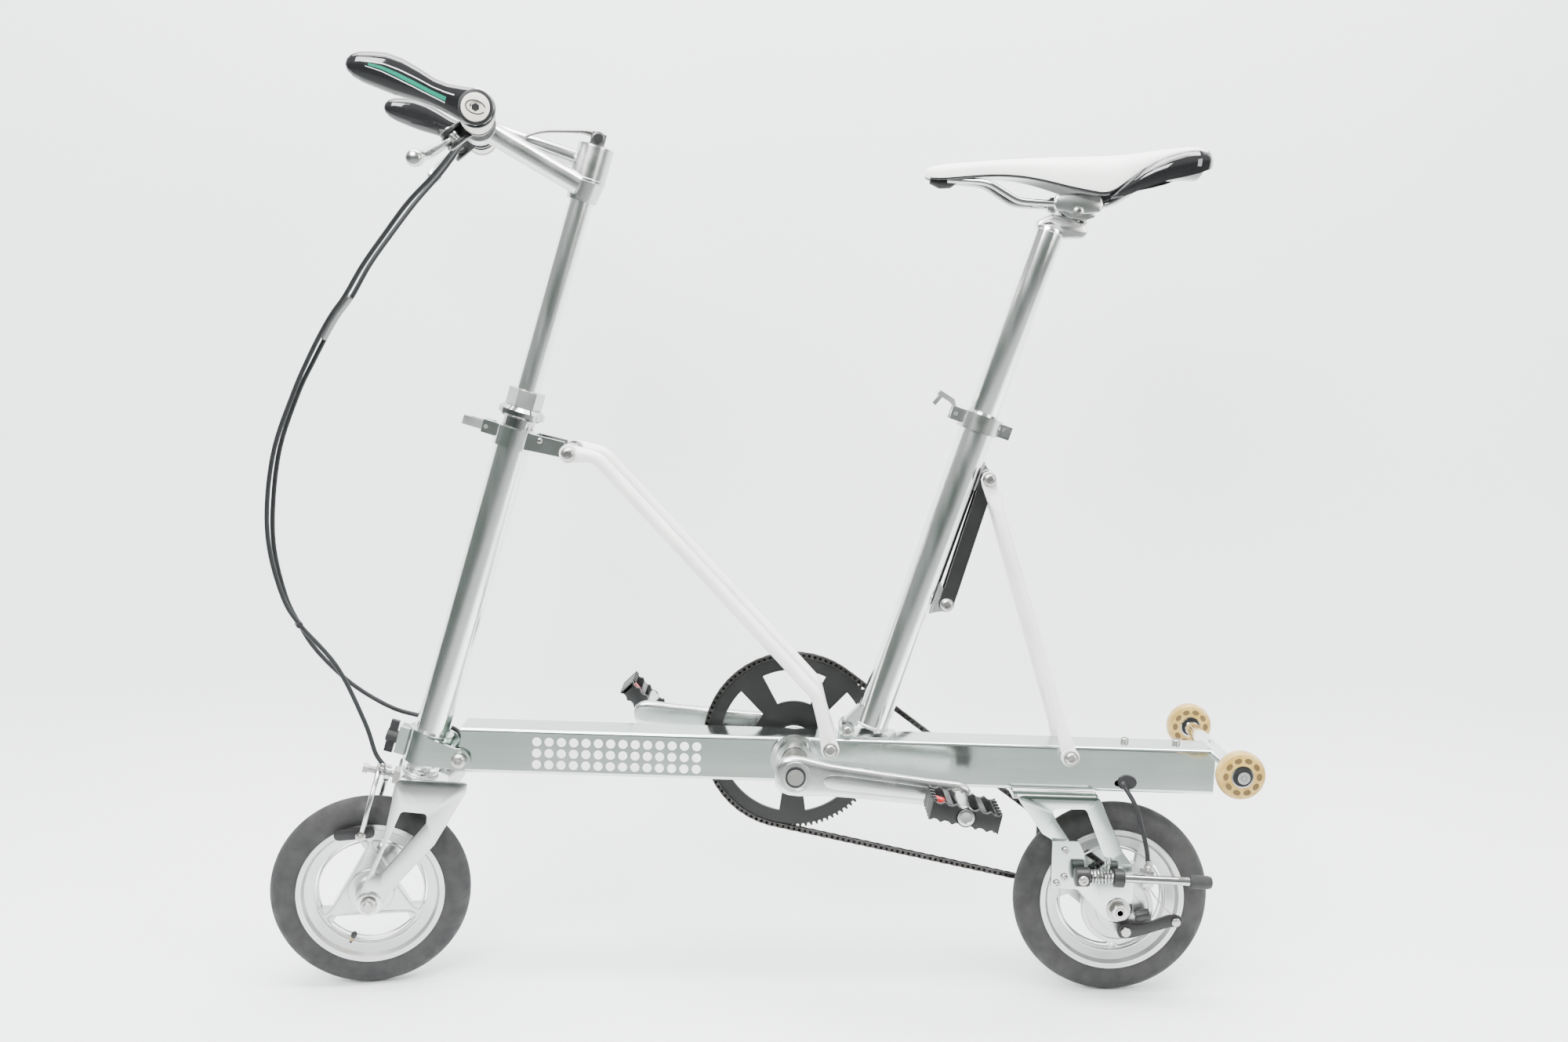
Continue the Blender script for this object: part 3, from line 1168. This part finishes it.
def cable_trim():
    path, other = smooth_path(FRONT_ROUTE, CABLE_STEPS), smooth_path(REAR_ROUTE, CABLE_STEPS)
    p = Piece("cable_sleeve")
    mids = [(path[k] + other[k]) / 2 for k in range(42, 56)]
    p.tube(mids, 5.6, SLEEVE, 18)
    p.done("stem")
    p = Piece("cable_clip")
    a, b = Vector((-488, -22, 407)), Vector((-499, 9, 403))
    p.tube([a.lerp(b, k / 6) for k in range(7)], [3.4, 4.0, 2.2, 2.0, 2.2, 4.0, 3.4], BLACK_PLASTIC, 12)
    p.done("fork")
    p = Piece("tail_grommet")
    oval = [(395.5, 245), (398, 239.4), (405, 236.6), (412.6, 238), (416.4, 243.4), (414, 249.4),
            (406, 252.4), (398.6, 250.6)]
    p.plate(round_outline(oval, 4), -24.4, -21.6, BLACK_PLASTIC, 1.0)
    p.lathe([(5.2, 0), (4.8, 2.4), (3.6, 4.6), (2.4, 5.2)], (401.5, -22, 242), (0.35, -0.8, -0.5),
            BLACK_PLASTIC, 24)
    p.done("frame")


cable_trim()

# ---- saddle ---------------------------------------------------------------


def saddle():
    leather = coated("saddle_leather", (0.87, 0.865, 0.84), 0.42, 700, 0.00010)
    bump(leather, noise(leather, 120, 4), 0.0003, 0.25)
    black = coated("saddle_shell", (0.010, 0.010, 0.011), 0.07, 300, 0.00001, Coat_Weight=0.5)
    # distance back, half width, height of the crown, height of the edge
    rows = [(170, 3, 895, 890), (174, 10, 898.5, 887.5), (184, 16, 901.5, 886),
            (200, 18.5, 903.5, 887), (225, 20, 905.5, 889.5), (250, 22.5, 908, 890.5),
            (275, 26, 909.6, 888), (298, 31, 911, 882.5), (318, 36.5, 911.8, 876.5),
            (338, 42, 912.4, 872), (356, 47.5, 913, 867.5), (372, 54, 913.8, 883),
            (396, 64.5, 916, 901), (418, 69, 918.5, 909.5), (436, 69.5, 919.5, 913),
            (449, 65, 917.5, 912), (456, 56, 913.5, 908), (458, 44, 910, 905)]
    n = 17
    bm = bmesh.new()
    grid = []
    for x, w, top, edge in rows:
        ring = []
        for k in range(n):
            a = math.pi * (k / (n - 1) - 0.5)
            v = math.copysign(abs(math.sin(a)) ** 0.82, a)
            shape = abs(math.cos(a)) ** 0.5 if 0 < k < n - 1 else 0
            dip = 1.6 * math.exp(-(v / 0.22) ** 2) * min(1, max(0, (x - 215) / 60))
            ring.append(bm.verts.new((x, w * v, edge + (top - edge) * shape - dip)))
        grid.append(ring)
    for a, b in zip(grid, grid[1:]):
        for k in range(n - 1):
            bm.faces.new((a[k], a[k + 1], b[k + 1], b[k]))
    # edge turned under, then a shell beneath
    under = []
    for x, w, _, edge in rows:
        low = []
        for k in range(n):
            v = -1 + 2 * k / (n - 1)
            z = min(edge + 14, 889) * (1 - v * v) + (edge - 1.5) * v * v
            low.append(bm.verts.new((x if x < 456 else x - 2, w * 0.93 * v, z)))
        under.append(low)
    for a, b in zip(under, under[1:]):
        for k in range(n - 1):
            bm.faces.new((a[k], b[k], b[k + 1], a[k + 1]))
    for i in range(len(rows) - 1):
        bm.faces.new((grid[i][0], grid[i + 1][0], under[i + 1][0], under[i][0]))
        bm.faces.new((grid[i][-1], under[i][-1], under[i + 1][-1], grid[i + 1][-1]))
    for i in (0, len(rows) - 1):
        for k in range(n - 1):
            bm.faces.new((grid[i][k], under[i][k], under[i][k + 1], grid[i][k + 1]))
    bmesh.ops.recalc_face_normals(bm, faces=bm.faces)
    o = mesh_object("saddle_cover", bm, (leather, black))
    for f in o.data.polygons:
        f.use_smooth = True
        f.material_index = 1 if f.normal.z < -0.2 else 0
    sub = o.modifiers.new("smooth", "SUBSURF")
    sub.levels = sub.render_levels = 2
    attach(o, "seat_post")
    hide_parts("saddle")
    # gloss tail panels that wrap each rear corner
    for side, word in SIDES:
        p = Piece(f"saddle_tail_{word}")
        cols = [(356, 48.5, 865.5, 868), (365, 52, 867, 878), (374, 57, 870, 887), (385, 62, 875, 896),
                (396, 66, 879, 903), (410, 69.5, 883.5, 909), (426, 71, 887, 913.5), (441, 69.8, 891, 915),
                (451, 63.5, 895, 914), (457.5, 51, 898.5, 911), (459, 31, 899.5, 909)]
        dense = refined(cols)
        verts, faces, m = [], [], 9
        for x, w, low, high in dense:
            for k in range(m):
                f = k / (m - 1)
                z = low + (high - low) * f
                bulge = 1.8 * math.sin(math.pi * f) + 0.6
                lean = -7.0 * max(0, f - 0.55) ** 1.5 * 2
                verts.append((x + (1.0 if x > 450 else 0), side * (w + bulge + lean * 1.2), z))
        count = len(dense)
        for x, w, low, high in dense:
            for k in range(m):
                f = k / (m - 1)
                z = low + (high - low) * f
                verts.append((x - 1.5, side * (w - 4.5), z * 0.999 + 0.88))
        for i in range(count - 1):
            for k in range(m - 1):
                a = i * m + k
                faces.append((a, a + 1, a + m + 1, a + m))
                b = count * m + a
                faces.append((b, b + m, b + m + 1, b + 1))
            for k in (0, m - 1):
                a, b = i * m + k, count * m + i * m + k
                faces.append((a, b, b + m, a + m))
        p.add(verts, faces, black)
        p.done("seat_post", sharp=70)
    p = Piece("saddle_nose_clip")
    p.tube([(176, 0, 886), (186, 0, 884.5), (196, 0, 885), (203, 0, 887)], [4, 7.5, 7.5, 4.5],
           BLACK_PLASTIC, 16)
    p.done("seat_post")
    for side, word in SIDES:
        p = Piece(f"saddle_rails_{word}")
        p.tube(smooth_path([(194, side * 7, 886), (212, side * 12, 885), (234, side * 18, 882.5),
                            (252, side * 21, 872.5), (266, side * 22, 865), (284, side * 22, 863),
                            (320, side * 22, 862), (350, side * 22.5, 861), (364, side * 26, 864.5),
                            (376, side * 33, 872), (386, side * 40, 880)], 4), 3.5, CHROME, 16)
        p.done("seat_post", ("saddle_rails",) if side < 0 else ())


saddle()


def seat_post():
    """Post with a forged head that reaches back under the clamp."""
    p = Piece("seat_post_forged", SEAT)
    p.lathe([(14.0, 580.6), (14.6, 580), (16.1, 580), (16.5, 580.6), (16.5, 878), (16.9, 878.4),
             (16.9, 881.4), (16.0, 884), (13.0, 887.5), (0.1, 889)], (0, 0, 0), (0, 0, 1), BRUSHED, 56,
            close=False)
    head = filleted([(-16, 877), (-16.4, 885), (-5, 896.4), (13, 899.6), (31, 897.6), (38, 891),
                     (35, 883.6), (15, 876)], 7)
    p.plate(head, -12, 12, ALLOY, 4.0)
    p.done("seat_post", ("seat_post",))


seat_post()


def seat_clamp_trim():
    """Forged cradle with a yoke over each rail, and its bolts."""
    p = Piece("saddle_clamp_forged")
    yoke = filleted([(302, 862), (305, 871.5), (330, 873), (351, 870.5), (354, 861), (351, 853.5),
                     (328, 851), (305, 855.5)], 5)
    for s in (-1, 1):
        p.plate(yoke, *sorted((s * 17.2, s * 27)), ALLOY, 2.2)
    cradle = filleted([(309, 864), (320, 868.5), (340, 868), (349, 860), (348, 849), (338, 845.5),
                       (320, 848), (310, 855)], 5)
    p.plate(cradle, -17.4, 17.4, ALLOY, 1.2)
    p.lathe([(3.0, -27.6), (3.0, 27.6)], (328, 0, 853), (0, 1, 0), ZINC, 20)
    for x in (318, 338):
        p.lathe([(3.9, 0), (4.1, 0.8), (3.7, 4.4), (2.2, 4.8), (2.1, 2), (0.1, 1.9)], (x, 0, 846.5),
                (0.28, 0, -1), ZINC, 20, hexes=(4,))
    for s in (-1, 1):
        p.lathe([(5.2, -1), (5.4, 0.6), (4.6, 0.8), (4.4, 3.4), (2.6, 3.9), (2.5, 1.4), (0.1, 1.3)],
                (328, s * 26.8, 854), (0, s, 0), ZINC, 24, hexes=(5,))
    p.done("seat_post", ("saddle_clamp",))


seat_clamp_trim()

# ---- struts and plates ----------------------------------------------------


def strut_leg(p, path, y_of, flat_from, flat_to, r=7.0):
    """White tube along an (x, z) path, pressed flat over its last lengths at each end."""
    pts = [Vector((q[0], 0, q[1])) for q in path]
    total = sum((b - a).length for a, b in zip(pts, pts[1:]))
    sections, walked = [], 0.0
    for i, c in enumerate(pts):
        if i:
            walked += (c - pts[i - 1]).length
        t = heading(pts, i)
        side = Vector((-t.z, 0, t.x))
        near = min(walked / flat_from, (total - walked) / flat_to, 1.0)
        near = near * near * (3 - 2 * near)
        wide = r * (1.30 - 0.30 * near)
        thin = r * (0.52 + 0.48 * near)
        sections.append((c + Vector((0, y_of(walked / total), 0)), side, Vector((0, 1, 0)), wide, thin))
    p.loft(sections, WHITE_PAINT, 24)


def denser(path, step=4.0):
    out = []
    for a, b in zip(path, path[1:]):
        k = max(1, int((b - a).length / step))
        out += [a.lerp(b, j / k) for j in range(k)]
    return out + [path[-1]]


def struts():
    low, high = (66, 340), (-170, 593)
    for s, word in SIDES:
        p = Piece(f"front_strut_{word}")
        path = denser(filleted([D, low, high, E], 26, 8, closed=False))
        strut_leg(p, path, lambda f: s * STRUT_Y, 34, 26)
        for at in (D, E):
            p.lathe([(4.1, -4.0), (9.2, -4.0), (9.8, -3.4), (9.8, 3.4), (9.2, 4.0), (4.1, 4.0)],
                    (at[0], s * STRUT_Y, at[1]), (0, 1, 0), WHITE_PAINT, 36)
        if s < 0:
            p.lathe([(4.0, -39), (4.0, 39)], (E[0], 0, E[1]), (0, 1, 0), ZINC, 24)
        p.done("front_strut", ("front_strut",) if s < 0 else ())
        p = Piece(f"rear_strut_{word}")
        top = (C[0] + 5, C[1] - 16)
        path = denser([Vector(top), Vector(D2)])
        strut_leg(p, path, lambda f: s * (17 + 12.8 * f), 20, 34, 6.4)
        p.lathe([(4.1, -3.8), (9.2, -3.8), (9.8, -3.2), (9.8, 3.2), (9.2, 3.8), (4.1, 3.8)],
                (D2[0], s * 29.8, D2[1]), (0, 1, 0), WHITE_PAINT, 36)
        eye = [(238.6, 566), (237.4, 573), (240, 579.4), (246.4, 582), (251.4, 580.2), (250, 575.6),
               (246.8, 577.4), (242.6, 576), (241.8, 571.6), (244.4, 568.6), (248.6, 569.2), (250.4, 572.2),
               (254.6, 570), (257, 556), (245, 548.6)]
        p.plate(eye, *sorted((s * 11.7, s * 16.3)), WHITE_PAINT, 0.7)
        p.done("rear_strut", ("rear_strut",) if s < 0 else ())


struts()


def pressed_plates():
    """Fork blades and dropouts with the soft edges and corners of laser-cut plate."""
    blade = filleted([(-24, 250), (50.5, 263), (51, 252), (34, 188), (-4, 112), (-9, 97), (-18, 94.6),
                      (-29, 101), (-29.5, 112), (-27, 130), (-20, 172)], 7)
    window = filleted([(-10, 216), (17, 219.5), (18.5, 210), (-13, 142), (-20, 142)], 5)
    for s, word in SIDES:
        p = Piece(f"fork_blade_{word}", STEERED)
        p.plate(blade, *sorted((s * 36, s * 40)), PLATE, 0.8, holes=[window[::-1]])
        p.lathe([(13.0, 0), (13.6, 0.4), (13.6, 1.4), (12.6, 2.0), (8.8, 2.0)],
                (AXLE[0], s * 39.8, AXLE[1]), (0, s, 0), ALLOY, 40, close=False)
        p.done("fork", ("fork_plates",) if s < 0 else ())
    hanger = filleted([(281, 235.2), (371.6, 233.7), (400, 172), (409, 160), (413, 142), (412.6, 122),
                       (412, 104), (404, 94.5), (390, 94.5), (382, 98), (352, 130), (322.5, 136),
                       (322.5, 186), (312, 192)], 5)
    gap = filleted([(318, 220), (358, 220), (382, 160), (372, 150), (346, 150), (342, 184)], 6)
    p = Piece("dropout_pair")
    for y0, y1 in ((-44, -40), (54, 58)):
        p.plate(hanger, y0, y1, FRAME, 0.8, holes=[gap[::-1]])
    p.done("frame", ("dropout_plates",))


pressed_plates()

# ---- kickstand and rear brake ---------------------------------------------


def kickstand():
    p = Piece("kickstand_leg")
    y = STAND_Y
    along = Vector((1, 0, -0.042))
    p.lathe([(9.0, 0), (10.4, 1), (10.4, 14), (9.6, 15)], (345, y, 151), (1, 0, 0), BLACK_METAL, 32)
    p.lathe([(4.6, 0), (4.6, 26)], (360, y, 151), (1, 0, 0), ZINC, 20)
    p.lathe([(8.6, 0), (9.8, 0.8), (9.8, 11), (8.4, 12), (5, 12.4)], (386, y, 150.2), along,
            BLACK_METAL, 32)
    p.lathe([(4.5, 0), (4.5, 80)], (397, y, 149.8), along, CHROME, 24)
    p.lathe([(4.6, 0), (7.0, 1), (7.4, 3), (7.2, 20), (6.2, 23.6), (3.4, 25), (0.1, 25.2)],
            (468, y, 146.8), along, RUBBER, 28)
    coil = []
    for k in range(141):
        t = k / 140
        a = 2 * math.pi * 7 * t
        coil.append((360.8 + 24.6 * t, y + 6.9 * math.cos(a), 151 + 6.9 * math.sin(a)))
    p.tube(coil, 1.25, CHROME, 8)
    p.done("kickstand", ("kickstand",))


kickstand()


def rear_brake_trim():
    p = Piece("drum_cover", REAR_HUB)
    p.lathe([(39.0, 40.1), (38.4, 41.2), (34, 41.6), (33.4, 40.4), (24, 40.4), (23.4, 41.8), (16, 42.0)],
            (0, 0, 0), (0, -1, 0), SATIN, 64, close=False)
    p.done("frame")
    p = Piece("brake_cable_parts")
    p.lathe([(2.6, 0), (3.6, 0.8), (3.8, 4), (4.6, 4.4), (4.6, 8.6), (3.4, 9.4), (3.0, 15)],
            (427, -46.5, 150), (0, 0, 1), ZINC, 20)
    p.lathe([(4.2, 0), (4.2, 5)], (427, -46.5, 131.4), (0, 0, 1), ZINC, 24, hexes=(0, 1))
    p.done("frame")
    p = Piece("brake_arm_shape")
    outline = [(395.5, 86), (397.5, 93), (404, 95.4), (414, 94), (428, 96.4), (446, 103.4), (456, 105.5),
               (464, 103), (466, 97.5), (462, 92), (452, 91.6), (430, 84.6), (414, 79.8), (404, 78.6),
               (398, 80)]
    p.plate(round_outline(outline, 3), -52, -47, BLACK_METAL, 1.0)
    p.lathe([(5.6, 0), (5.8, 0.6), (5.8, 3.4), (5.0, 4)], (404, -52, 87), (0, -1, 0), ZINC, 24,
            hexes=(0, 1, 2))
    p.lathe([(4.6, 0), (4.6, 3.6), (3.8, 4.2), (1.8, 4.3)], (458, -52, 98.6), (0, -1, 0), ZINC, 24)
    p.lathe([(5.6, 0), (6.0, 0.8), (6.0, 14), (5.2, 15)], (414, -51.4, 104.4), (1, 0, 0.16),
            BLACK_METAL, 22)
    p.done("brake_arm", ("brake_arm",))
    p = Piece("axle_ends")
    for y, s in ((-54, -1), (68, 1)):
        p.lathe([(5.0, 0), (4.6, 0.6), (3.2, 0.6), (2.6, -1.4), (0.1, -1.6)], (REAR_X, y, WHEEL_R),
                (0, s, 0), ZINC, 24)
    p.lathe([(8.0, 0), (8.4, 0.6), (8.2, 1.6), (5.2, 1.8)], (REAR_X, -52, WHEEL_R), (0, -1, 0), CHROME, 32,
            close=False)
    p.done("frame")


rear_brake_trim()

# ---- bolts, welds and dots ------------------------------------------------

# name, (x, z), distance from the mid-plane, radius, body, height
BOLTS = (
    ("fold_bolt", P, 31.4, 8.0, "frame", 4.0),
    ("strut_foot_bolt", D, 42, 6.6, "frame", 2.2),
    ("strut_top_bolt", E, STRUT_Y + 8.4, 7.2, "front_strut", 3.2),
    ("rear_strut_bolt", D2, 38, 7.0, "frame", 3.2),
    ("link_low_bolt", B, 13, 7.0, "seat_tube", 3.4),
    ("link_top_bolt", C, 20.4, 6.8, "rear_link", 3.4),
    ("seat_hinge_bolt", A, 19.8, 5.6, "frame", 2.6),
)
for s, word in SIDES:
    out = (0, s, 0)
    for name, (x, z), y, r, body, h in BOLTS:
        bolt(f"{name}_{word}", (x, s * y, z), out, r, body, h)
    p = Piece(f"front_nut_{word}", STEERED)
    p.lathe([(8.6, 0), (9.0, 0.8), (9.0, 5.2), (8.2, 6), (5.4, 6.2), (5.2, 8.8), (4.6, 9.4), (0.1, 9.6)],
            (AXLE[0], s * 42.8, AXLE[1]), out, ZINC, 30, hexes=(0, 1, 2, 3))
    p.done("fork")
for k, x in enumerate((407, 464)):
    bolt(f"beam_screw_{k}", (x, 4, 27.4), (0, 0, 1), 4.6, "frame", 2.4, BEAM)
for k, (x, z) in enumerate(((336, 176), (336, 146), (328, 139))):
    bolt(f"bracket_screw_{k}", (x, -50, z), (0, -1, 0), 3.8, "frame", 1.6)
bolt("stand_pivot_bolt", (352, -72.6, 151), (0, -1, 0), 5.4, "frame", 2.6)
bolt("collar_screw", (28.5, -18, 640.5), (0, -1, 0), 3.0, "head_tube", 1.4, HEAD)


def ring_points(at, axis, r):
    z = Vector(axis).normalized()
    x = z.orthogonal().normalized()
    y = z.cross(x)
    return [Vector(at) + (x * math.cos(t) + y * math.sin(t)) * r for t in angles(28)]


def welds():
    for y, word in ((-23.0, "l"), (23.0, "r")):
        bead(f"shell_weld_{word}", ring_points((BB[0], y * 0.97, BB[1]), (0, 1, 0), 22.4), 1.7, "frame",
             closed=True)
    bead("roller_weld", ring_points((501.5, 0, 277), (1, 0, 0), 8.6), 1.6, "frame", closed=True)
    for y, word in ((-41.5, "l"), (55.8, "r")):
        bead(f"dropout_weld_{word}", [(283, y, 233.8), (368, y, 232.2)], 2.4, "frame")
    for y, word in ((-22.2, "l"), (22.2, "r")):
        bead(f"bridge_weld_{word}", [(281, y, 235.0), (371, y, 233.6)], 2.0, "frame")
    for side, word in ((-1, "l"), (1, "r")):
        crown_y, lug_y = side * 35.6, side * 5.4
        bead(f"crown_weld_{word}", [(-20, crown_y, 250.0), (31, crown_y, 250.0)], 2.0, "fork", STEERED)
        bead(f"lug_weld_{word}", [(-317.6, side * 15.5, 274), (-317.6, side * 16.2, 264),
                                  (-317.8, side * 15.5, 253)], 1.5, "frame")
        for name, z0, z1 in (("link_lug_low", 454, 490), ("link_lug_top", 596, 628)):
            bead(f"{name}_{word}", [(18.6, lug_y, z0), (18.6, lug_y, z1)], 1.5, "seat_tube", SEAT)
    bead("crown_ring", ring_points((0, 0, 250.6), (0, 0, 1), 18.4), 1.7, "fork", STEERED, closed=True)
    bead("seat_foot_ring", ring_points((0, 0, 316.5), (0, 0, 1), 19.2), 1.5, "seat_tube", SEAT,
         closed=True)


welds()


def beam_dots():
    p = Piece("beam_dots", BEAM)
    for row in range(3):
        for k in range(14):
            x, z = -236 + 13.3 * k, 11.6 - 12.6 * row
            ring, base = ([(x + r * math.cos(t), y, z + r * math.sin(t)) for t in angles(28)]
                          for r, y in ((4.9, -22.12), (4.95, -21.96)))
            faces = [tuple(range(28))] + [(j, 28 + j, 28 + (j + 1) % 28, (j + 1) % 28) for j in range(28)]
            p.add(ring + base, faces, DOT_PAINT)
    p.done("frame")


beam_dots()
